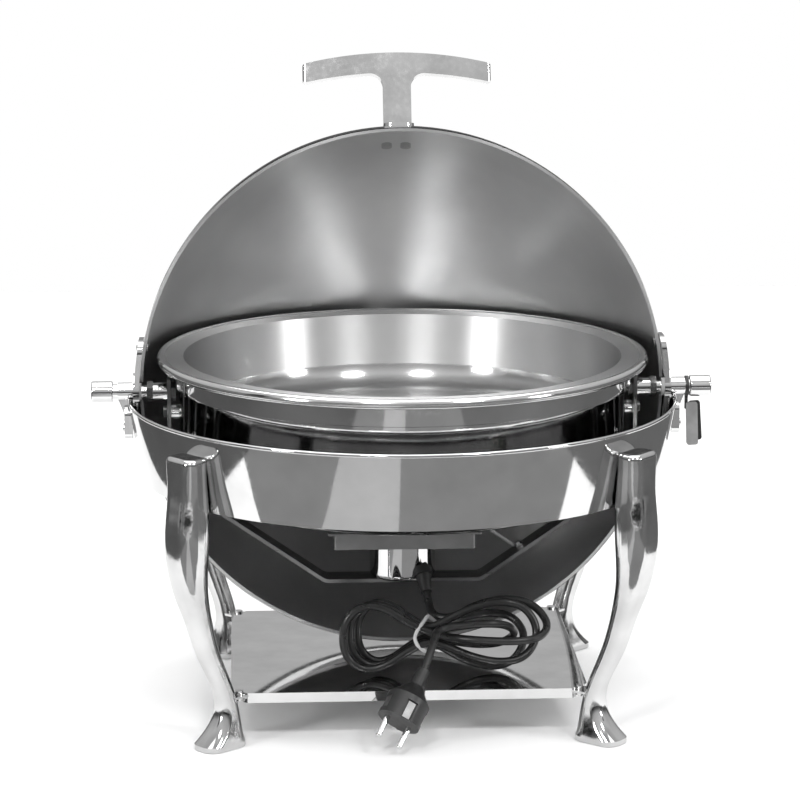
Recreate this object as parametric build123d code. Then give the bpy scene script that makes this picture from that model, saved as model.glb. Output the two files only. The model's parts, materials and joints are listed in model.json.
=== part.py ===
from build123d import *
from math import cos, sin, radians, sqrt, tan
import os

# Round roll-top chafer, shown with its lid rolled back. Millimetres, +Z up, floor at Z = 0.
# +X is to the right of the serving side, +Y to the back. The lid turns about the X axis at PIVOT_Z.

# ---- driving dimensions -------------------------------------------------------------------
PIVOT_Z = 260.0            # height of the lid's pivot axis, and of the dome's centre
SHEET = 1.2                # pressed steel sheet

DOME_R = 214.2             # outside of the lid
DOME_IN = DOME_R - SHEET

RING_TOP_Z = 254.0
RING_BOTTOM_Z = 194.0
RING_TOP_R = 223.0
RING_BOTTOM_R = 214.0

RIM_Z = 288.0              # middle of the food pan's rolled edge
RIM_R = 200.0              # outside of the rolled edge
ROLL_R = 4.0
FOOD_WALL_R = 178.0        # inside of the food pan at its top
FOOD_BOTTOM_R = 171.0
FOOD_DEPTH = 65.0

WATER_R = 182.0
WATER_BOTTOM_Z = 175.0
WATER_CORNER = 35.0
COLLAR_R = 186.0
COLLAR_Z = 267.0

SHAFT_R = 5.0
BUSH_R = 7.0
RUNNING_FIT = 0.05
STRAP_X = 190.0            # middle of the carrier's upright legs
STRAP_Z = 101.5            # middle of the carrier's flat base
STRAP_BEND_X = 64.0
STRAP_KNEE_Z = 188.0
STRAP_WIDTH = 24.0
STRAP_THICK = 3.0

LEG_BEARING = 49.4         # each leg's direction, from the Y axis towards the X axis
SHELF_TOP_Z = 40.0
SHELF_X = 142.0            # half sizes of the shelf
SHELF_Y = 120.0

CORD_R = 3.25
TIE = (16.0, -72.0, 72.6)  # where the folded lead is tied
NECK_R = 11.8

os.makedirs("parts", exist_ok=True)
LOW = (Align.CENTER, Align.CENTER, Align.MIN)
PIVOT = Pos(0, 0, PIVOT_Z)
NODES = {}


def save(name, shape):
    """Keep a sub-part under its node name."""
    shape.label = name
    NODES[name] = shape


def turned(points):
    """A solid of revolution about Z from its (radius, height) outline."""
    return revolve(Plane.XZ * make_face(Polyline(*points, close=True)), axis=Axis.Z)


def disc(radius, low, high):
    return Pos(0, 0, low) * Cylinder(radius, high - low, align=LOW)


def rod_x(radius, x_from, x_to, y=0.0, z=0.0):
    """A round bar along X, between two x values."""
    low, high = sorted((x_from, x_to))
    return Pos(low, y, z) * Rot(0, 90, 0) * Cylinder(radius, high - low, align=LOW)


def rod_between(start, end, radius, radius_end=None):
    """A round bar, or a taper, between two points."""
    a, b = Vector(*start), Vector(*end)
    plane = Plane(origin=a, z_dir=b - a)
    length = (b - a).length
    if radius_end is None:
        return plane * Cylinder(radius, length, align=LOW)
    return plane * Cone(radius, radius_end, length, align=LOW)


def group(shapes):
    return Compound(children=[s.solid() if len(s.solids()) == 1 else s for s in shapes])


# ---- apron ring ---------------------------------------------------------------------------
def ring_radius(z):
    share = (z - RING_BOTTOM_Z) / (RING_TOP_Z - RING_BOTTOM_Z)
    return RING_BOTTOM_R + (RING_TOP_R - RING_BOTTOM_R) * share


def ring_envelope():
    """The space inside the ring's outer face, used to seat the legs and brackets on it."""
    return turned([(0, RING_BOTTOM_Z - 12), (RING_BOTTOM_R, RING_BOTTOM_Z - 12),
                   (RING_BOTTOM_R, RING_BOTTOM_Z), (RING_TOP_R, RING_TOP_Z), (0, RING_TOP_Z)])


def apron_ring():
    wall = turned([(RING_BOTTOM_R - 7, RING_BOTTOM_Z), (RING_BOTTOM_R, RING_BOTTOM_Z),
                   (RING_TOP_R, RING_TOP_Z), (RING_TOP_R - SHEET, RING_TOP_Z),
                   (RING_BOTTOM_R - SHEET, RING_BOTTOM_Z + SHEET),
                   (RING_BOTTOM_R - 7, RING_BOTTOM_Z + SHEET)])
    body = wall + ring_bead()
    for side in (-1, 1):
        body -= rod_x(8.0, side * 215, side * 230, z=PIVOT_Z)
    return body


def ring_bead():
    return Pos(0, 0, RING_TOP_Z) * Torus(RING_TOP_R - 0.6, 1.5)


# ---- legs ---------------------------------------------------------------------------------
# Height, radius of the section's middle, half depth (radial) and half width of each leg section.
LEG_SECTIONS = [
    (239, 229.0, 11.0, 16.5), (222, 229.0, 11.5, 16.0), (204, 228.5, 13.0, 16.0),
    (180, 229.5, 14.5, 17.0), (157, 230.0, 13.5, 16.5), (123, 225.0, 11.0, 12.5),
    (91, 215.0, 9.0, 9.5), (59, 201.5, 8.0, 8.5), (33, 192.5, 8.5, 9.0),
    (14, 195.0, 14.0, 12.0), (4, 199.0, 20.5, 14.0), (0, 199.0, 20.5, 14.0),
]


def leg_blank():
    """A cabriole leg on the +X axis: square knee on the ring, thin ankle, toe turned out."""
    faces = []
    for z, middle, depth, width in LEG_SECTIONS:
        corner = 0.8 * min(depth, width)
        faces.append(Pos(middle, 0, z) * RectangleRounded(2 * depth, 2 * width, corner))
    leg = loft(faces[:-1]) + loft(faces[-2:])
    top = leg.faces().sort_by(Axis.Z)[-1]
    return fillet(top.edges(), 4.0)


def leg_angles():
    """Name and bearing of each leg, counted from +X towards +Y."""
    base = 90.0 - LEG_BEARING
    return {"front_left": 180.0 + base, "front_right": -base,
            "rear_right": base, "rear_left": 180.0 - base}


RIVET_HEIGHTS = (208.0, 230.0)


def leg_rivet(angle, z):
    """A flat-headed rivet through the ring into the leg."""
    inner = ring_radius(z) - SHEET - 1.6
    shank = rod_x(2.5, inner + 1.0, inner + 12.0, z=z)
    head = rod_x(4.5, inner, inner + 1.2, z=z)
    return Rot(0, 0, angle) * (head + shank)


# ---- shelf --------------------------------------------------------------------------------
def shelf_plate():
    """A tray-shaped shelf with a turned-down edge, clipped corners and a tab to each leg."""
    def slab(inset, low, high):
        outline = chamfer(Rectangle(2 * (SHELF_X - inset), 2 * (SHELF_Y - inset)).vertices(), 13.0)
        return Pos(0, 0, low) * extrude(outline, high - low)
    plate = slab(0, SHELF_TOP_Z - 8, SHELF_TOP_Z) - slab(SHEET, SHELF_TOP_Z - 9, SHELF_TOP_Z - SHEET)
    for angle in leg_angles().values():
        plate += Rot(0, 0, angle) * Pos(184, 0, SHELF_TOP_Z - 2) * Box(26, 15, SHEET * 1.5)
    return plate


def shelf_screw(angle, out=179.0):
    """A cap screw down through the shelf's tab."""
    head = Pos(out, 0, SHELF_TOP_Z - 2 + SHEET * 0.75) * Cylinder(3.6, 2.6, align=LOW)
    nut = Pos(out, 0, SHELF_TOP_Z - 2 - SHEET * 0.75 - 3) * Cylinder(3.6, 3, align=LOW)
    shank = Pos(out, 0, SHELF_TOP_Z - 7) * Cylinder(2.0, 8, align=LOW)
    return Rot(0, 0, angle) * (head + nut + shank)


# ---- pans ---------------------------------------------------------------------------------
def rounded_drum(radius, low, high, corner):
    drum = disc(radius, low, high)
    return fillet(drum.edges().sort_by(Axis.Z)[0], corner)


def water_pan():
    """A deep round pan with a wider collar under its flange."""
    flange_z = RIM_Z - ROLL_R
    body = rounded_drum(WATER_R, WATER_BOTTOM_Z, COLLAR_Z + 1, WATER_CORNER)
    body -= rounded_drum(WATER_R - SHEET, WATER_BOTTOM_Z + SHEET, COLLAR_Z + 2, WATER_CORNER - SHEET)
    collar = turned([(WATER_R - SHEET, COLLAR_Z), (COLLAR_R, COLLAR_Z + 1.5), (COLLAR_R, flange_z - 2),
                     (COLLAR_R + 5, flange_z - 1), (COLLAR_R + 5, flange_z), (COLLAR_R - SHEET, flange_z),
                     (COLLAR_R - SHEET, COLLAR_Z + 2.4), (WATER_R - SHEET, COLLAR_Z + 1.4)])
    return body + collar


def food_pan():
    """A tapered food pan with a broad flange and a rolled edge that covers the water pan's."""
    top = RIM_Z + 2.0
    slope = (FOOD_WALL_R - FOOD_BOTTOM_R) / FOOD_DEPTH

    def bowl(grow, low, high):
        base = FOOD_BOTTOM_R + grow + slope * (low - (top - FOOD_DEPTH))
        cone = Pos(0, 0, low) * Cone(base, base + slope * (high - low), high - low, align=LOW)
        return fillet(cone.edges().sort_by(Axis.Z)[0], 24.0 + grow)
    shell = bowl(SHEET, top - FOOD_DEPTH - SHEET, top) - bowl(0, top - FOOD_DEPTH, top + 2)
    rim_edge = RIM_R - ROLL_R
    outline = make_face(Polyline((FOOD_WALL_R, top - SHEET), (rim_edge, RIM_Z + 1.4),
                                 (rim_edge, RIM_Z + ROLL_R - 0.8), (FOOD_WALL_R, top), close=True))
    rim = outline + Pos(rim_edge, RIM_Z) * Circle(ROLL_R)
    return shell + revolve(Plane.XZ * rim, axis=Axis.Z)


# ---- carrier and pivots -------------------------------------------------------------------
def carrier_strap():
    """A flat bar hung on both pivot shafts that holds the heater and the water pan."""
    top = PIVOT_Z + 12
    half = [(STRAP_BEND_X, STRAP_Z), (STRAP_X, STRAP_KNEE_Z), (STRAP_X, top)]
    route = [(-x, 0, z) for x, z in reversed(half)] + [(x, 0, z) for x, z in half]
    path = FilletPolyline(*route, radius=12)
    section = Plane(origin=path @ 0, x_dir=(1, 0, 0), z_dir=path % 0) * Rectangle(STRAP_THICK, STRAP_WIDTH)
    bar = sweep(section, path=path)
    return bar - rod_x(SHAFT_R, -230, 230, z=PIVOT_Z) - rod_x(2.5, -230, 230, z=PAN_BOLT_Z)


PAN_BOLT_Z = 243.0
NUT_X = (203.0, 208.0)     # the locking nut on each shaft, just inside the dome
PLATE_IN = DOME_R + 0.1    # hinge plate's inner and outer spherical faces
PLATE_OUT = PLATE_IN + 4.0
BUSH_X = (212.4, 219.0)
HUB_X = (219.6, 231.5)
KNOB_X = (235.5, 253.0)


def hexagon_x(across, x_from, x_to, z):
    low, high = sorted((x_from, x_to))
    profile = RegularPolygon(across / 2, 6, major_radius=False)
    return Pos(low, 0, z) * Rot(0, 90, 0) * extrude(profile, high - low)


def pan_bolt(side):
    """A spacer and bolt that fix the water pan to the carrier's upright leg."""
    inner, outer = STRAP_X - STRAP_THICK / 2, STRAP_X + STRAP_THICK / 2
    spacer = rod_x(6.0, side * (WATER_R + 0.02), side * inner, z=PAN_BOLT_Z)
    head = hexagon_x(9.0, side * outer, side * (outer + 3.5), PAN_BOLT_Z)
    return spacer + head + rod_x(2.5, side * (inner - 1), side * (outer + 1), z=PAN_BOLT_Z)


def pivot_shaft(side):
    """A fixed shaft from the knob through the bracket, lid and carrier, with a shoulder."""
    shaft = rod_x(SHAFT_R, side * 185.0, side * 246.0, z=PIVOT_Z)
    return shaft + rod_x(SHAFT_R + 2, side * (STRAP_X + STRAP_THICK / 2), side * NUT_X[0], z=PIVOT_Z)


def shaft_nut(side):
    """The locking nut beside the dome and the washer-nut that closes the carrier joint."""
    lock = hexagon_x(15.0, side * NUT_X[0], side * NUT_X[1], PIVOT_Z)
    inner = hexagon_x(14.0, side * 184.6, side * (STRAP_X - STRAP_THICK / 2), PIVOT_Z)
    return [n - rod_x(SHAFT_R, -260, 260, z=PIVOT_Z) for n in (lock, inner)]


def pivot_bracket(side):
    """A cast hub on a gusset that sits on the ring's outer face at each end of the axis."""
    hub = rod_x(7.5, side * HUB_X[0], side * HUB_X[1], z=PIVOT_Z)
    outline = [(HUB_X[0], PIVOT_Z + 2), (HUB_X[1], PIVOT_Z + 2), (HUB_X[1] - 0.5, PIVOT_Z - 6),
               (RING_TOP_R + 2.4, 240), (RING_TOP_R + 1.6, 222), (RING_TOP_R - 6, 222),
               (HUB_X[0], RING_TOP_Z + 1.6)]
    web = extrude(Plane.XZ * make_face(Polyline(*outline, close=True)), 5, both=True)
    foot = Pos(RING_TOP_R, 0, 236) * Box(6.2, 30, 26)
    foot = fillet(foot.edges().filter_by(Axis.X), 6)
    web = web + foot
    if side < 0:
        web = mirror(web, about=Plane.YZ)
    inside = disc(HUB_X[0], 200, 262)
    body = (web - ring_envelope() - ring_bead() - inside) + hub
    return body - rod_x(SHAFT_R, -260, 260, z=PIVOT_Z)


def bracket_rivet(side, y):
    """A domed rivet in the bracket's foot."""
    z = 232.0
    face = RING_TOP_R + 3.1
    return rod_x(2.8, side * face, side * (face + 1.5), y=y, z=z)


def pivot_knob(side):
    """A plain turned knob with a neck and a rounded end."""
    body = rod_x(8.7, side * KNOB_X[0], side * KNOB_X[1], z=PIVOT_Z)
    body = fillet(body.edges().filter_by(GeomType.CIRCLE), 1.4)
    neck = rod_x(NECK_RADIUS, side * HUB_X[1], side * (KNOB_X[0] + 1), z=PIVOT_Z)
    return body + neck - rod_x(SHAFT_R, side * 200, side * 246, z=PIVOT_Z)


# ---- lid ----------------------------------------------------------------------------------
HINGE_Y, HINGE_Z = 3.0, 0.0            # middle of the hinge plate, from the axis
HINGE_SIZE = (34.0, 86.0)
HINGE_SCREWS = [(11.0, 35.0), (11.0, -35.0)]
BOSS_R = 15.0
NOTCH_R = 8.0
HANDLE_TILT = 20.0                     # the handle stands this far back from the dome's top
HANDLE_NUT_TILT = 27.5
HANDLE_NUT_X = 8.0


def screw_line(y, z):
    """A point on the dome at (y, z) from the axis, on the +X side."""
    return sqrt(DOME_R ** 2 - y ** 2 - z ** 2)


def dome_pin(side, y, z, radius, r_from, r_to):
    """A round pin square to the dome at (y, z), between two distances from its centre."""
    direction = Vector(side * screw_line(y, z), y, z).normalized()
    centre = Vector(0, 0, PIVOT_Z)
    return rod_between(centre + direction * r_from, centre + direction * r_to, radius)


def handle_pin(side, radius, r_from, r_to):
    angle = radians(HANDLE_NUT_TILT)
    x = side * HANDLE_NUT_X
    reach = sqrt(DOME_R ** 2 - x ** 2)
    direction = Vector(x, reach * sin(angle), reach * cos(angle)).normalized()
    centre = Vector(0, 0, PIVOT_Z)
    return rod_between(centre + direction * r_from, centre + direction * r_to, radius)


def lid_dome():
    """Half a sphere, open to the front when rolled back, with a turned-in rim."""
    outer = CenterArc((0, 0), DOME_R, 0, 90)
    inner = CenterArc((0, 0), DOME_IN, 0, 90)
    ends = [Line(outer @ 1, inner @ 1), Line(inner @ 0, outer @ 0)]
    outline = make_face([outer, ends[0], inner, ends[1]])
    outline += Pos(DOME_R - 1.6, 1.3) * Rectangle(2.6, 2.6)
    shell = PIVOT * revolve(outline, axis=Axis.Y)
    for side in (-1, 1):
        shell -= rod_x(NOTCH_R, side * 200, side * 225, z=PIVOT_Z)
        shell -= handle_pin(side, 2.5, 200, 225)
        for y, z in HINGE_SCREWS:
            shell -= dome_pin(side, y, z, 2.5, 200, 225)
    return shell


def hinge_plate(side):
    """A curved plate on the outside of the dome that carries the pivot bush."""
    outline = Plane.YZ * (Pos(HINGE_Y, HINGE_Z) * RectangleRounded(*HINGE_SIZE, 10))
    block = Pos(-230, 0, 0) * extrude(outline, 40)
    boss = rod_x(BOSS_R, 1.5 - PLATE_IN, -BUSH_X[1]) - Sphere(PLATE_IN)
    plate = PIVOT * (((Sphere(PLATE_OUT) - Sphere(PLATE_IN)) & block) + boss)
    plate -= rod_x(BUSH_R, -225, -200, z=PIVOT_Z)
    for y, z in HINGE_SCREWS:
        plate -= dome_pin(-1, y, z, 2.5, 200, 225)
    return mirror(plate, about=Plane.YZ) if side > 0 else plate


def hinge_bush(side):
    bush = rod_x(BUSH_R, side * BUSH_X[0], side * BUSH_X[1], z=PIVOT_Z)
    return bush - rod_x(SHAFT_R + RUNNING_FIT, side * 200, side * 230, z=PIVOT_Z)


def dome_screw(make_pin, *where):
    """A domed screw outside, its shank through the sheet and a cap nut inside."""
    head = make_pin(*where, 4.2, PLATE_OUT, PLATE_OUT + 1.0)
    shank = make_pin(*where, 2.5, DOME_IN - 2, PLATE_OUT + 0.5)
    nut = make_pin(*where, 4.4, DOME_IN - 3.0, DOME_IN - 0.15)
    return head + shank + nut


def lid_handle():
    """A T-shaped cast handle: arched bar, waisted stem and a curved foot on the dome."""
    stem_half, bar_half = 11.5, 78.0
    top, top_end, low, low_end = 67.0, 57.5, 50.0, 41.5
    upper = ThreePointArc((-bar_half, top_end), (0, top), (bar_half, top_end))
    lower = ThreePointArc((bar_half, low_end), (0, low), (-bar_half, low_end))
    ends = [Line(upper @ 1, lower @ 0), Line(lower @ 1, upper @ 0)]
    bar = make_face([upper, ends[0], lower, ends[1]])
    stem = Pos(0, (low + 4) / 2 - 3) * Rectangle(2 * stem_half, low + 10)
    outline = bar + stem
    inner = [v for v in outline.vertices() if abs(abs(v.X) - stem_half) < 0.1 and v.Y > 20]
    outline = fillet(inner, 11.0)
    plane = Plane(origin=(0, 0, 0), x_dir=(1, 0, 0), z_dir=(0, -1, 0))
    body = Pos(0, 0, DOME_R) * extrude(plane * outline, 4.5, both=True)
    tips = body.faces().filter_by(Axis.X)
    body = fillet(tips.sort_by(Axis.X)[0].edges() + tips.sort_by(Axis.X)[-1].edges(), 2.0)
    body = Rot(-HANDLE_TILT, 0, 0) * body - Sphere(PLATE_OUT - 1)
    foot = (Sphere(PLATE_OUT) - Sphere(PLATE_IN)) & handle_foot_block()
    body = PIVOT * (body + foot)
    for side in (-1, 1):
        body -= handle_pin(side, 2.5, 200, 225)
    return body


def handle_foot_block():
    middle = 22.0
    span = 2 * DOME_R * tan(radians(9.0))
    block = Pos(0, 0, DOME_R) * Box(25, span, 30)
    block = fillet(block.edges().filter_by(Axis.Z), 6)
    return Rot(-middle, 0, 0) * block


# ---- heater -------------------------------------------------------------------------------
CUP_R = 27.0
CUP_LOW = STRAP_Z + STRAP_THICK / 2
BOX_LOW = 135.0
BOX_HIGH = 148.0
BOX_X = 57.5
BOX_Y = 40.0
PLATE_TOP = BOX_HIGH + 1.5
GLAND_DIR = Vector(0.12, -0.72, -0.68).normalized()
GLAND_FOOT = (15.2, -21.0, 113.0)
GLAND_LENGTH = 22.0


def terminal_cup():
    """A pressed steel cup that covers the heater's terminals."""
    cup = rounded_drum(CUP_R, CUP_LOW, BOX_LOW, 5)
    cup -= rounded_drum(CUP_R - SHEET, CUP_LOW + SHEET, BOX_LOW + 1, 5 - SHEET)
    return cup - gland_bar(5.0, -15, 20)


def gland_bar(radius, start, end, radius_end=None):
    foot = Vector(*GLAND_FOOT)
    return rod_between(foot + GLAND_DIR * start, foot + GLAND_DIR * end, radius, radius_end)


def cord_gland():
    """A moulded strain relief, tapering along the lead, gripped in the cup's wall."""
    collar = gland_bar(8.0, 0.0, 7.0)
    taper = gland_bar(6.6, 6.0, GLAND_LENGTH, CORD_R + 0.9)
    return (collar + taper - disc(CUP_R, CUP_LOW - 4, BOX_LOW)) + gland_bar(5.0, -4, 6.5)


def heater_box():
    """A shallow folded box above the cup, open at the top, with the cup's opening in its base."""
    box = Pos(0, 0, BOX_LOW) * Box(2 * BOX_X, 2 * BOX_Y, BOX_HIGH - BOX_LOW, align=LOW)
    box = fillet(box.edges().filter_by(Axis.Z), 2.5)
    inner = Pos(0, 0, BOX_LOW + SHEET) * Box(2 * (BOX_X - SHEET), 2 * (BOX_Y - SHEET), 30, align=LOW)
    return box - inner - disc(CUP_R - SHEET, BOX_LOW - 1, BOX_LOW + 3)


def heater_mount():
    """The plate that closes the box and carries the spacers."""
    plate = Pos(0, 0, BOX_HIGH) * Box(2 * BOX_X + 10, 2 * BOX_Y + 10, PLATE_TOP - BOX_HIGH, align=LOW)
    return fillet(plate.edges().filter_by(Axis.Z), 2.0)


def heater_spacers():
    posts = []
    for x in (-46, 46):
        for y in (-30, 30):
            posts.append(Pos(x, y, 0) * disc(4.0, PLATE_TOP, 161.0))
    return posts


EARTH_END = (98.0, 0.0)


def strap_height(x):
    """The middle of the carrier's sloping bar at x."""
    rise = (STRAP_KNEE_Z - STRAP_Z) / (STRAP_X - STRAP_BEND_X)
    return STRAP_Z + (x - STRAP_BEND_X) * rise


def earth_parts():
    """The earth lead from the mounting plate to the carrier, and its screw."""
    slope = Vector(STRAP_X - STRAP_BEND_X, 0, STRAP_KNEE_Z - STRAP_Z).normalized()
    normal = Vector(-slope.Z, 0, slope.X)
    seat = Vector(EARTH_END[0], EARTH_END[1], strap_height(EARTH_END[0])) + normal * (STRAP_THICK / 2)
    screw = rod_between(seat, seat + normal * 2.0, 4.0)
    screw += rod_between(seat + normal * 2.0, seat + normal * 4.5, 2.6)
    start = (BOX_X + 5.1, -6, PLATE_TOP - 0.8)
    lead = rod_between(start, tuple(seat + normal * 3.2 + slope * -3.4), 1.4)
    return lead - screw, screw


# ---- supply lead --------------------------------------------------------------------------
PLUG_DIR = Vector(-0.45, -0.55, -0.70).normalized()
GLAND_END = Vector(*GLAND_FOOT) + GLAND_DIR * GLAND_LENGTH
LEAD_ROUTE = [tuple(GLAND_END), tuple(GLAND_END + GLAND_DIR * 18), (21.0, -67.0, 80.0)]
TAIL_ROUTE = [(22.0, -82.0, 80.5), (23.0, -110.0, 78.0)]
TAIL_RUN = 28.0                        # from the last corner to the back of the plug


def corner_radii(points):
    """Each corner's radius: 0.45 of its shorter run over the tangent of half the turn."""
    radii = []
    for a, b, c in zip(points, points[1:], points[2:]):
        first, second = Vector(*b) - Vector(*a), Vector(*c) - Vector(*b)
        half_turn = radians(first.get_angle(second)) / 2
        radii.append(0.45 * min(first.length, second.length) / tan(half_turn))
    return radii


def cord_tube(name, points):
    radii = corner_radii(points)
    path = FilletPolyline(*points, radius=radii)
    tube = sweep(Plane(origin=path @ 0, z_dir=path % 0) * Circle(CORD_R), path=path)
    ratio = tube.volume / (3.14159265 * CORD_R ** 2 * path.length)
    print(name, "radii", [round(r, 1) for r in radii], "length", round(path.length, 1),
          "volume ratio", round(ratio, 4))
    return tube


def cord_hank():
    """The outer shape of the folded lead: two fanned lobes with a waist where it is tied."""
    left, right = -57.0 - TIE[0], 112.0 - TIE[0]
    lobes = Spline((left, 11), (-60, 24), (-43, 29.5), (-19, 21), (0, NECK_R), (22, 20),
                   (46, 29), (68, 32), (right - 9, 26), (right, 11))
    ends = Polyline(lobes @ 1, (right, 0), (left, 0), lobes @ 0)
    profile = make_face([lobes, ends])
    return Pos(*TIE) * revolve(profile, axis=Axis.X)


def cord_tie():
    return Pos(*TIE) * Rot(0, 90, 0) * Torus(NECK_R + 1.7, 1.4)


def plug_frame():
    start = Vector(*TAIL_ROUTE[-1]) + PLUG_DIR * TAIL_RUN
    return Plane(origin=start, x_dir=Vector(1, 0, -0.6), z_dir=PLUG_DIR)


PLUG_LENGTH = 48.0
PIN_SPACING = 19.0


def plug_body():
    """A round two-pin earthed plug: tapered sleeve, shoulder and grooves for the earth clips."""
    outline = [(0, 0), (5.2, 0), (6.6, 15), (12.0, 22), (17.5, 28), (17.5, PLUG_LENGTH), (0, PLUG_LENGTH)]
    body = revolve(Plane.XZ * make_face(Polyline(*outline, close=True)), axis=Axis.Z)
    for side in (-1, 1):
        body -= Pos(0, side * 17.0, 41) * Box(9.0, 3.0, 16)
        body -= Pos(side * 18.5, 0, 38) * Box(6.0, 40.0, 12)
    return plug_frame() * body


def plug_pins():
    pins = []
    for side in (-1, 1):
        pin = Pos(side * PIN_SPACING / 2, 0, PLUG_LENGTH) * Cylinder(2.4, 19, align=LOW)
        pins.append(plug_frame() * fillet(pin.edges().sort_by(Axis.Z)[-1], 1.6))
    return pins


def earth_clips():
    clips = []
    for side in (-1, 1):
        clip = Pos(0, side * 16.1, 41) * Box(6.0, 1.2, 13.6)
        clips.append(plug_frame() * clip)
    return clips


# ---- hang tag on the right pivot ----------------------------------------------------------
NECK_RADIUS = 6.0
TAG_LOOP_X = (232.3, 234.7)
TAG_TOP_Z = 247.0
TAG_WIDTH, TAG_THICK = 9.5, 2.4


def tag_loop():
    """A loop that runs round the knob's neck, with a strap down to both leaves."""
    middle, half = sum(TAG_LOOP_X) / 2, (TAG_LOOP_X[1] - TAG_LOOP_X[0]) / 2
    strap_end = PIVOT_Z - TAG_TOP_Z + 6.0
    outline = Circle(NECK_RADIUS + 2.4) + Pos(0, -strap_end / 2) * Rectangle(3.0, strap_end)
    outline -= Circle(NECK_RADIUS + RUNNING_FIT)
    plane = Plane(origin=(middle, 0, PIVOT_Z), x_dir=(0, 1, 0), z_dir=(1, 0, 0))
    return extrude(plane * outline, half, both=True)


def tag_leaf(x, side, length, tilt):
    """A folded leaf beside the strap, on its front (-1) or its back (1)."""
    leaf = Pos(0, 0, -length / 2) * Box(TAG_WIDTH, TAG_THICK, length)
    leaf = fillet(leaf.edges().filter_by(Axis.Y), 2.2)
    return Pos(x, side * (1.5 + TAG_THICK / 2), TAG_TOP_Z) * Rot(0, tilt, 0) * leaf


# ---- assembly -----------------------------------------------------------------------------
def build():
    save("apron_ring", apron_ring())
    blank = leg_blank() - ring_envelope_local()
    for name, angle in leg_angles().items():
        save("leg_" + name, Rot(0, 0, angle) * blank)
    legs = [NODES["leg_" + n] for n in leg_angles()]
    rivets = [leg_rivet(a, z) for a in leg_angles().values() for z in RIVET_HEIGHTS]
    holes = group(rivets)
    NODES["apron_ring"] = NODES["apron_ring"] - holes
    for name in leg_angles():
        NODES["leg_" + name] = NODES["leg_" + name] - holes
    save("leg_rivets", group(rivets))

    shelf = shelf_plate()
    screws = [shelf_screw(a) for a in leg_angles().values()]
    for leg in legs:
        shelf -= leg
    save("shelf", shelf - group(screws))
    save("shelf_screws", group(screws))

    save("water_pan", water_pan())
    save("food_pan", food_pan())
    save("carrier_strap", carrier_strap())
    save("pan_bolts", group([pan_bolt(s) for s in (-1, 1)]))
    save("shaft_nuts", group(shaft_nut(-1) + shaft_nut(1)))

    for side, word in ((-1, "left"), (1, "right")):
        save("pivot_shaft_" + word, pivot_shaft(side))
        save("pivot_bracket_" + word, pivot_bracket(side))
        save("pivot_knob_" + word, pivot_knob(side))
        save("hinge_plate_" + word, hinge_plate(side))
        save("hinge_bush_" + word, hinge_bush(side))
    save("bracket_rivets", group([bracket_rivet(s, y) for s in (-1, 1) for y in (-10, 10)]))

    save("lid_dome", lid_dome())
    save("lid_handle", lid_handle())
    save("hinge_screws", group([dome_screw(dome_pin, s, y, z) for s in (-1, 1) for y, z in HINGE_SCREWS]))
    save("handle_screws", group([dome_screw(handle_pin, s) for s in (-1, 1)]))

    save("heating_plate", disc(90, 167, WATER_BOTTOM_Z))
    save("insulation_pad", disc(85, 161, 167))
    save("heater_spacers", group(heater_spacers()))
    save("heater_mount", heater_mount())
    save("heater_box", heater_box())
    save("terminal_cup", terminal_cup())
    save("terminal_block", Pos(0, 8, BOX_HIGH - 12) * Box(34, 20, 12, align=LOW))
    save("cord_gland", cord_gland())
    lead, screw = earth_parts()
    save("earth_lead", lead - NODES["heater_mount"])
    save("earth_screw", screw)

    hank = cord_hank()
    save("cord_hank", hank)
    save("cord_lead", cord_tube("cord_lead", LEAD_ROUTE) - hank)
    save("cord_tie", cord_tie())
    tail = TAIL_ROUTE + [tuple(Vector(*TAIL_ROUTE[-1]) + PLUG_DIR * TAIL_RUN)]
    save("cord_tail", cord_tube("cord_tail", tail) - hank)
    save("plug_body", plug_body())
    save("plug_pins", group(plug_pins()))
    save("plug_earth_clips", group(earth_clips()))

    save("tag_loop", tag_loop())
    save("tag_leaf_front", tag_leaf(237.6, -1, 36.0, -2.0))
    save("tag_leaf_back", tag_leaf(240.4, 1, 33.0, -4.0))


def ring_envelope_local():
    """The ring's envelope, and the bead's, for cutting a leg's back to sit on the ring."""
    return ring_envelope() + ring_bead()


build()
for node, shape in NODES.items():
    export_step(shape, "parts/" + node + ".step")
print(len(NODES), "nodes")
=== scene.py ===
import json
import math

import bpy
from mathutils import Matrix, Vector


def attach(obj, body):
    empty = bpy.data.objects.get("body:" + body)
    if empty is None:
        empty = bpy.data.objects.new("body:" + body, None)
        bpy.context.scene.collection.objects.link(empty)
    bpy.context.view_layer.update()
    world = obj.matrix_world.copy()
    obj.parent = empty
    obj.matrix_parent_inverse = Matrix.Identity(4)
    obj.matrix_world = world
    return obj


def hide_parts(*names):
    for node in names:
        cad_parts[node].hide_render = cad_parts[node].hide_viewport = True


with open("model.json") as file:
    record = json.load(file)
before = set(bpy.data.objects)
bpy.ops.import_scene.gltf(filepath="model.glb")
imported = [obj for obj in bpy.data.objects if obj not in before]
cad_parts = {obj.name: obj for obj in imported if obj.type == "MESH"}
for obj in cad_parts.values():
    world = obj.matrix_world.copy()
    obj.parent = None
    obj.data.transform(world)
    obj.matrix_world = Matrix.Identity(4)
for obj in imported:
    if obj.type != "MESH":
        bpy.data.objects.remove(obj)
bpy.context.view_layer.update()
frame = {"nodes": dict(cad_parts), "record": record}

MM = 0.001
PIVOT = Vector((0, 0, 0.260))          # middle of the lid's hinge axis
DOME_SPLIT = 0.2136                    # between the lid's inner and outer faces, from PIVOT
PAN_CENTRE = (0, 0, 0.35)
PAN_SPLIT = 0.2015                     # between the pan's inner and outer faces, from PAN_CENTRE
FLOOR_HALF = 2.0
LAMP_DISTANCE = 2.4                    # from PIVOT to each small lamp


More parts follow.
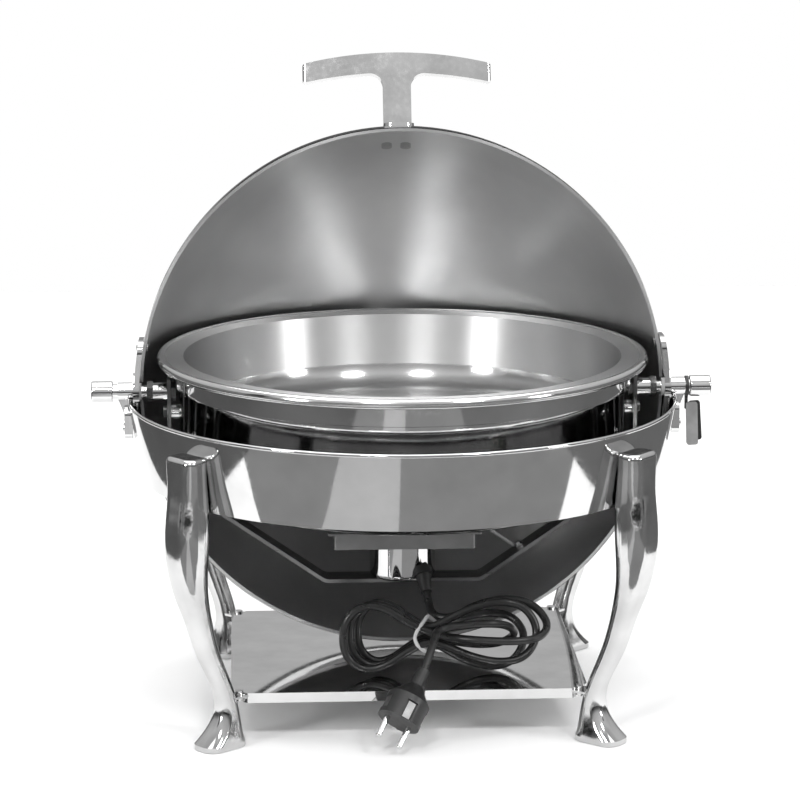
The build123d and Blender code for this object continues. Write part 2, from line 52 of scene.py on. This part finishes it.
# ---- camera, world and lights -------------------------------------------------------------
def add_camera():
    distance, elevation, azimuth = 2.5, math.radians(11.6), math.radians(-3.05)
    back = Vector((math.sin(azimuth) * math.cos(elevation),
                   -math.cos(azimuth) * math.cos(elevation), math.sin(elevation)))
    data = bpy.data.cameras.new("camera")
    data.lens, data.sensor_width = 137.7, 36
    data.shift_x, data.shift_y = -0.0029, -0.0141
    camera = bpy.data.objects.new("camera", data)
    bpy.context.scene.collection.objects.link(camera)
    camera.location = PIVOT + back * distance
    camera.rotation_euler = (-back).to_track_quat("-Z", "Y").to_euler()
    bpy.context.scene.camera = camera


def add_world():
    """White behind the object, and pale and dark bands by height for the steel to reflect."""
    world = bpy.data.worlds.new("studio")
    bpy.context.scene.world = world
    world.use_nodes = True
    nodes, links = world.node_tree.nodes, world.node_tree.links
    nodes.clear()
    output = nodes.new("ShaderNodeOutputWorld")
    mix = nodes.new("ShaderNodeMixShader")
    white, studio = nodes.new("ShaderNodeBackground"), nodes.new("ShaderNodeBackground")
    white.inputs["Strength"].default_value = 1.0
    white.inputs["Color"].default_value = (1, 1, 1, 1)
    studio.inputs["Strength"].default_value = 0.78
    path = nodes.new("ShaderNodeLightPath")
    where = nodes.new("ShaderNodeTexCoord")
    apart = nodes.new("ShaderNodeSeparateXYZ")
    links.new(where.outputs["Generated"], apart.inputs[0])
    height = ramp(nodes, [(0.0, 0.75), (0.44, 0.62), (0.50, 0.10), (0.55, 0.16),
                          (0.63, 0.70), (0.80, 0.95), (1.0, 0.55)])
    shift = nodes.new("ShaderNodeMath")
    shift.operation = "MULTIPLY_ADD"
    shift.inputs[1].default_value = 0.5
    shift.inputs[2].default_value = 0.5
    links.new(apart.outputs["Z"], shift.inputs[0])
    links.new(shift.outputs[0], height.inputs["Fac"])
    links.new(height.outputs["Color"], studio.inputs["Color"])
    links.new(path.outputs["Is Camera Ray"], mix.inputs[0])
    links.new(studio.outputs[0], mix.inputs[1])
    links.new(white.outputs[0], mix.inputs[2])
    links.new(mix.outputs[0], output.inputs["Surface"])


def ramp(nodes, stops):
    """A colour ramp through (place, grey) stops."""
    node = nodes.new("ShaderNodeValToRGB")
    node.color_ramp.interpolation = "LINEAR"
    while len(node.color_ramp.elements) > 1:
        node.color_ramp.elements.remove(node.color_ramp.elements[0])
    for i, (place, grey) in enumerate(stops):
        if i == 0:
            element = node.color_ramp.elements[0]
            element.position = place
        else:
            element = node.color_ramp.elements.new(place)
        element.color = (grey, grey, grey, 1)
    return node


def add_area(name, place, target, size, power):
    """A rectangular lamp at place that points at target."""
    data = bpy.data.lights.new(name, "AREA")
    data.shape, data.size, data.size_y, data.energy = "RECTANGLE", size[0], size[1], power
    light = bpy.data.objects.new(name, data)
    bpy.context.scene.collection.objects.link(light)
    light.location = place
    light.rotation_euler = (Vector(target) - Vector(place)).to_track_quat("-Z", "Y").to_euler()


def add_card(name, centre, across, up, grey):
    """A plain flat card beside the object, seen only in reflections."""
    c, a, u = Vector(centre), Vector(across) / 2, Vector(up) / 2
    mesh = bpy.data.meshes.new(name)
    mesh.from_pydata([c - a - u, c + a - u, c + a + u, c - a + u], [], [(0, 1, 2, 3)])
    card = bpy.data.objects.new(name, mesh)
    bpy.context.scene.collection.objects.link(card)
    mesh.materials.append(plain("card_" + name, grey, 1.0))
    card.visible_camera = False
    card.visible_shadow = False
    card.visible_diffuse = False


def add_stage():
    """The floor, the lamps and the cards."""
    mesh = bpy.data.meshes.new("floor")
    half = FLOOR_HALF
    mesh.from_pydata([(-half, -half, 0), (half, -half, 0), (half, half, 0), (-half, half, 0)], [],
                     [(0, 1, 2, 3)])
    floor = bpy.data.objects.new("floor", mesh)
    bpy.context.scene.collection.objects.link(floor)
    mesh.materials.append(plain("floor_white", 0.93, 0.9))
    floor.location.z = -0.0005
    # Each lamp lights one fan on the lid's spun inside.
    lamps = {"far_left": ((-0.75, -0.62, 0.21), 15), "left": ((-0.20, -0.71, 0.665), 15),
             "right": ((0.39, -0.67, 0.63), 13), "far_right": ((0.85, -0.48, 0.216), 13)}
    for name, (direction, power) in lamps.items():
        add_area(name, PIVOT + Vector(direction) * LAMP_DISTANCE, PIVOT, (0.34, 0.34), power)
    add_area("top", (0, 0.3, 2.8), (0, 0, 0.2), (3.2, 3.2), 75)
    add_card("front_low", (0, -3.4, 0.10), (5.0, 0, 0), (0, 0, 0.34), 0.015)
    add_card("right", (2.6, -1.2, 0.9), (0.25, 0.5, 0), (0, 0, 1.8), 0.01)
    add_card("left", (-2.6, -0.9, 0.9), (0.2, -0.45, 0), (0, 0, 1.8), 0.01)
    # The apron ring and the legs mirror the floor, so grey cards lie on it, hidden from the camera.
    add_card("floor_front", (0, -0.95, 0.003), (1.6, 0, 0), (0, 1.3, 0), 0.17)
    add_card("floor_pale", (-0.16, -0.95, 0.005), (0.24, 0, 0), (0, 1.3, 0), 0.36)
    add_card("floor_left", (-1.35, -0.1, 0.004), (1.5, 0, 0), (0, 3.4, 0), 0.06)
    add_card("floor_right", (1.35, -0.1, 0.004), (1.5, 0, 0), (0, 3.4, 0), 0.09)


# ---- materials ----------------------------------------------------------------------------
def shader(name):
    """A material with its Principled shader, node tree and object coordinates."""
    material = bpy.data.materials.new(name)
    material.use_nodes = True
    tree = material.node_tree
    where = tree.nodes.new("ShaderNodeTexCoord")
    return material, tree, tree.nodes["Principled BSDF"], where.outputs["Object"]


def plain(name, grey, roughness):
    """An even matt or glossy grey."""
    material, _, principled, _ = shader(name)
    principled.inputs["Base Color"].default_value = (grey, grey, grey, 1)
    principled.inputs["Roughness"].default_value = roughness
    return material


def noise(tree, place, scale, detail=3.0, stretch=None):
    texture = tree.nodes.new("ShaderNodeTexNoise")
    texture.inputs["Scale"].default_value = scale
    texture.inputs["Detail"].default_value = detail
    if stretch:
        mapping = tree.nodes.new("ShaderNodeMapping")
        mapping.inputs["Scale"].default_value = stretch
        tree.links.new(place, mapping.inputs["Vector"])
        place = mapping.outputs[0]
    tree.links.new(place, texture.inputs["Vector"])
    return texture.outputs["Fac"]


def spread(tree, value, low, high):
    """Maps a 0 to 1 value onto low to high."""
    node = tree.nodes.new("ShaderNodeMapRange")
    node.inputs["From Min"].default_value = 0.3
    node.inputs["From Max"].default_value = 0.7
    node.inputs["To Min"].default_value = low
    node.inputs["To Max"].default_value = high
    tree.links.new(value, node.inputs["Value"])
    return node.outputs["Result"]


def bump(tree, principled, value, strength, distance):
    node = tree.nodes.new("ShaderNodeBump")
    node.inputs["Strength"].default_value = strength
    node.inputs["Distance"].default_value = distance
    tree.links.new(value, node.inputs["Height"])
    tree.links.new(node.outputs["Normal"], principled.inputs["Normal"])


def grey_from(tree, value, low, high):
    """A grey between low and high, by value."""
    colour = tree.nodes.new("ShaderNodeCombineColor")
    shade = spread(tree, value, low, high)
    for channel in ("Red", "Green", "Blue"):
        tree.links.new(shade, colour.inputs[channel])
    return colour.outputs["Color"]


def metal(name, low, high, rough_low, rough_high, wave=0.0, wave_scale=18.0, grain=260.0, stretch=None):
    """Polished or brushed metal: cloudy tone, uneven roughness, and a slight waviness of the sheet."""
    material, tree, principled, place = shader(name)
    principled.inputs["Metallic"].default_value = 1.0
    tree.links.new(grey_from(tree, noise(tree, place, 30.0), low, high), principled.inputs["Base Color"])
    fine = noise(tree, place, grain, 4.0, stretch)
    tree.links.new(spread(tree, fine, rough_low, rough_high), principled.inputs["Roughness"])
    if wave:
        bump(tree, principled, noise(tree, place, wave_scale, 1.0), wave, 0.002)
    return material


def plastic(name, low, high, rough_low, rough_high, grain=500.0, depth=0.15):
    """Moulded or extruded plastic: fine grain and scuffs."""
    material, tree, principled, place = shader(name)
    tree.links.new(grey_from(tree, noise(tree, place, 60.0), low, high), principled.inputs["Base Color"])
    tree.links.new(spread(tree, noise(tree, place, 140.0), rough_low, rough_high),
                   principled.inputs["Roughness"])
    bump(tree, principled, noise(tree, place, grain, 2.0), depth, 0.0003)
    return material


def spun(name, centre, split, axis, inside_rough, outside_rough):
    """A pressed sheet: satin and spun in rings on the side nearer centre, mirror polished outside.

    axis is the direction of the spinning axis, "Y" for the lid and "Z" for the pan.
    """
    material, tree, principled, place = shader(name)
    nodes, links = tree.nodes, tree.links
    principled.inputs["Metallic"].default_value = 1.0
    offset = nodes.new("ShaderNodeVectorMath")
    offset.operation = "SUBTRACT"
    offset.inputs[1].default_value = centre
    links.new(place, offset.inputs[0])
    length = nodes.new("ShaderNodeVectorMath")
    length.operation = "LENGTH"
    links.new(offset.outputs[0], length.inputs[0])
    outside = nodes.new("ShaderNodeMath")
    outside.operation = "GREATER_THAN"
    outside.inputs[1].default_value = split
    links.new(length.outputs["Value"], outside.inputs[0])
    apart = nodes.new("ShaderNodeSeparateXYZ")
    links.new(offset.outputs[0], apart.inputs[0])
    rings = nodes.new("ShaderNodeTexNoise")
    rings.noise_dimensions = "1D"
    rings.inputs["Scale"].default_value = 1100.0
    rings.inputs["Detail"].default_value = 4.0
    links.new(apart.outputs[axis], rings.inputs["W"])
    satin = spread(tree, rings.outputs["Fac"], inside_rough - 0.02, inside_rough + 0.02)
    choose = nodes.new("ShaderNodeMix")
    links.new(outside.outputs[0], choose.inputs["Factor"])
    links.new(satin, choose.inputs["A"])
    choose.inputs["B"].default_value = outside_rough
    links.new(choose.outputs["Result"], principled.inputs["Roughness"])
    cloud = grey_from(tree, noise(tree, place, 14.0), 0.62, 0.70)
    links.new(cloud, principled.inputs["Base Color"])
    principled.inputs["Anisotropic"].default_value = 0.85
    principled.inputs["Anisotropic Rotation"].default_value = 0.25
    tangent = nodes.new("ShaderNodeTangent")
    tangent.direction_type = "RADIAL"
    tangent.axis = axis
    links.new(tangent.outputs[0], principled.inputs["Tangent"])
    return material


def make_materials():
    return {
        "polished_steel": metal("polished_steel", 0.58, 0.68, 0.03, 0.075, wave=0.10, wave_scale=7.0),
        "cast_metal": metal("cast_metal", 0.50, 0.66, 0.07, 0.15, wave=0.35, wave_scale=38.0),
        "turned_steel": metal("turned_steel", 0.66, 0.76, 0.05, 0.12, grain=900.0, stretch=(1, .02, .02)),
        "sheet_steel": metal("sheet_steel", 0.20, 0.28, 0.26, 0.38, stretch=(0.05, 1, 1)),
        "fasteners": metal("fasteners", 0.55, 0.68, 0.12, 0.22),
        "aluminium": metal("aluminium", 0.42, 0.50, 0.35, 0.5, wave=0.2, wave_scale=120.0),
        "pin_metal": metal("pin_metal", 0.60, 0.72, 0.10, 0.2),
        "insulation": plastic("insulation", 0.45, 0.62, 0.9, 1.0, 300.0, 0.8),
        "nylon": plastic("nylon", 0.62, 0.70, 0.4, 0.55),
        "plug_plastic": plastic("plug_plastic", 0.010, 0.018, 0.34, 0.46),
        "cord_sheath": plastic("cord_sheath", 0.010, 0.016, 0.26, 0.36, 900.0, 0.08),
        "white_tie": plastic("white_tie", 0.55, 0.68, 0.45, 0.6),
        "earth_wire": plastic("earth_wire", 0.18, 0.25, 0.35, 0.5),
        "grey_tag": plastic("grey_tag", 0.16, 0.24, 0.45, 0.6),
        "black_tag": plastic("black_tag", 0.010, 0.016, 0.4, 0.55),
    }


def dress_cad_nodes(materials):
    lid_steel = spun("lid_steel", tuple(PIVOT), DOME_SPLIT, "Y", 0.34, 0.05)
    pan_steel = spun("pan_steel", PAN_CENTRE, PAN_SPLIT, "Z", 0.36, 0.16)
    slots = {s["node"]: s["material_slot"] for s in frame["record"]["subparts"]}
    for name, node in frame["nodes"].items():
        material = materials.get(slots[name])
        if name == "lid_dome":
            material = lid_steel
        elif name == "food_pan":
            material = pan_steel
        node.data.materials.clear()
        node.data.materials.append(material)


# ---- supply lead: places and sizes in millimetres unless scaled by MM ------------------------
CORD_DIAMETER = 6.5 * MM
GLAND_DIR = Vector((0.12, -0.72, -0.68)).normalized()
PLUG_DIR = Vector((-0.45, -0.55, -0.70)).normalized()
GLAND_END = Vector((15.2, -21.0, 113.0)) + GLAND_DIR * 22
TIE = Vector((16.0, -72.0, 72.6))
LOBE_WIDTH = 29.0
TIE_RADIUS = 14.6
TIE_THICKNESS = 1.5                    # radius of the band's section
TIE_WAVE = 2.0
TIE_SKEW = math.radians(-38)
TIE_POINTS = 13
TIE_POINTS_ROUND = 12.6                # points to a full turn; the band stops 17 degrees short of closing


def around_tie(along, radius, angle):
    """A point beside the hank's axis. The angle is counted from straight up towards the front."""
    a = math.radians(angle)
    return TIE + Vector((along, -radius * math.sin(a), radius * math.cos(a)))


def right_loop(reach, out_angle, back_angle):
    """One loop to the right of the tie, out at one angle and back at another."""
    shape = [(0.20, 0.42), (0.45, 0.80), (0.74, 1.00), (1.00, 0.80)]
    out = [around_tie(reach * f, LOBE_WIDTH * w, out_angle) for f, w in shape]
    back = [around_tie(reach * f, LOBE_WIDTH * w, back_angle) for f, w in reversed(shape)]
    tips = [around_tie(reach * 1.13, LOBE_WIDTH * 0.5, a) for a in (out_angle, back_angle)]
    return out + [(tips[0] + tips[1]) / 2] + back


def left_loop(reach, depth, width):
    """One upright loop to the left of the tie, out above and back below."""
    shape = [(0.25, 0.45), (0.52, 0.92), (0.80, 1.02), (1.03, 0.50)]
    over = [TIE + Vector((-reach * f, depth * (1 + 0.25 * f), width * w)) for f, w in shape]
    under = [TIE + Vector((-reach * f, depth * (1 + 0.25 * f), -width * w)) for f, w in reversed(shape)]
    return over + under


def through_tie(depth, height):
    """One point inside the tie, where the lead passes from one loop to the next."""
    return [TIE + Vector((0, depth, height))]


def cord_points():
    """The lead from the gland through the hank's loops to the plug, in millimetres."""
    points = [GLAND_END, GLAND_END + GLAND_DIR * 13, Vector((20.5, -52, 86)), Vector((25, -62.5, 83.5)),
              Vector((38, -66.5, 84.5))]
    points += right_loop(88, -25, 88)[1:]
    points += through_tie(-7, 3.8) + left_loop(66, -7, 27) + through_tie(-7, -3.8)
    points += right_loop(80, 130, 10)
    points += through_tie(0, 4.0) + left_loop(60, 0, 26) + through_tie(0, -4.0)
    points += right_loop(72, 180, -70)
    points += through_tie(7, 3.8) + left_loop(54, 7, 25) + through_tie(7, -3.8)
    points += right_loop(64, -125, 58)[:-1]
    points += [Vector((32, -87.5, 82.5)), Vector((22, -93, 81)), Vector((20.5, -108, 79))]
    points += [Vector((23, -110, 78)) + PLUG_DIR * 28]
    return points


def nurbs(name, points, radius):
    """A tube along a NURBS curve that follows the points and ends on the first and last one."""
    data = bpy.data.curves.new(name, "CURVE")
    data.dimensions = "3D"
    data.bevel_depth, data.bevel_resolution, data.resolution_u = radius, 6, 10
    data.use_fill_caps = True
    spline = data.splines.new("NURBS")
    spline.points.add(len(points) - 1)
    for target, point in zip(spline.points, points):
        target.co = (*point, 1)
    spline.order_u = 3
    spline.use_endpoint_u = True
    piece = bpy.data.objects.new(name, data)
    bpy.context.scene.collection.objects.link(piece)
    return piece


def add_cord(materials, tie):
    points = [p * MM for p in cord_points()]
    lead = nurbs("supply_lead", points, CORD_DIAMETER / 2)
    lead.data.materials.append(materials["cord_sheath"])
    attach(lead, "frame")
    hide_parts("cord_lead", "cord_hank", "cord_tail")


def add_tie(materials):
    """A soft white band round the waist of the hank, a little askew."""
    radius, points = TIE_RADIUS * MM, []
    for i in range(TIE_POINTS):
        a = 2 * math.pi * i / TIE_POINTS_ROUND
        flat = Vector((0, -math.sin(a) * radius, math.cos(a) * radius))
        skew = Vector((-flat.y * math.sin(TIE_SKEW), flat.y * math.cos(TIE_SKEW), flat.z))
        points.append(TIE * MM + skew + Vector((TIE_WAVE * MM * math.sin(3 * a), 0, 0)))
    tie = nurbs("white_tie", points, TIE_THICKNESS * MM)
    tie.data.materials.append(materials["white_tie"])
    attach(tie, "frame")
    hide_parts("cord_tie")
    return tie


add_camera()
add_world()
add_stage()
MATERIALS = make_materials()
dress_cad_nodes(MATERIALS)
add_cord(MATERIALS, add_tie(MATERIALS))
bpy.context.scene.view_settings.view_transform = "Standard"
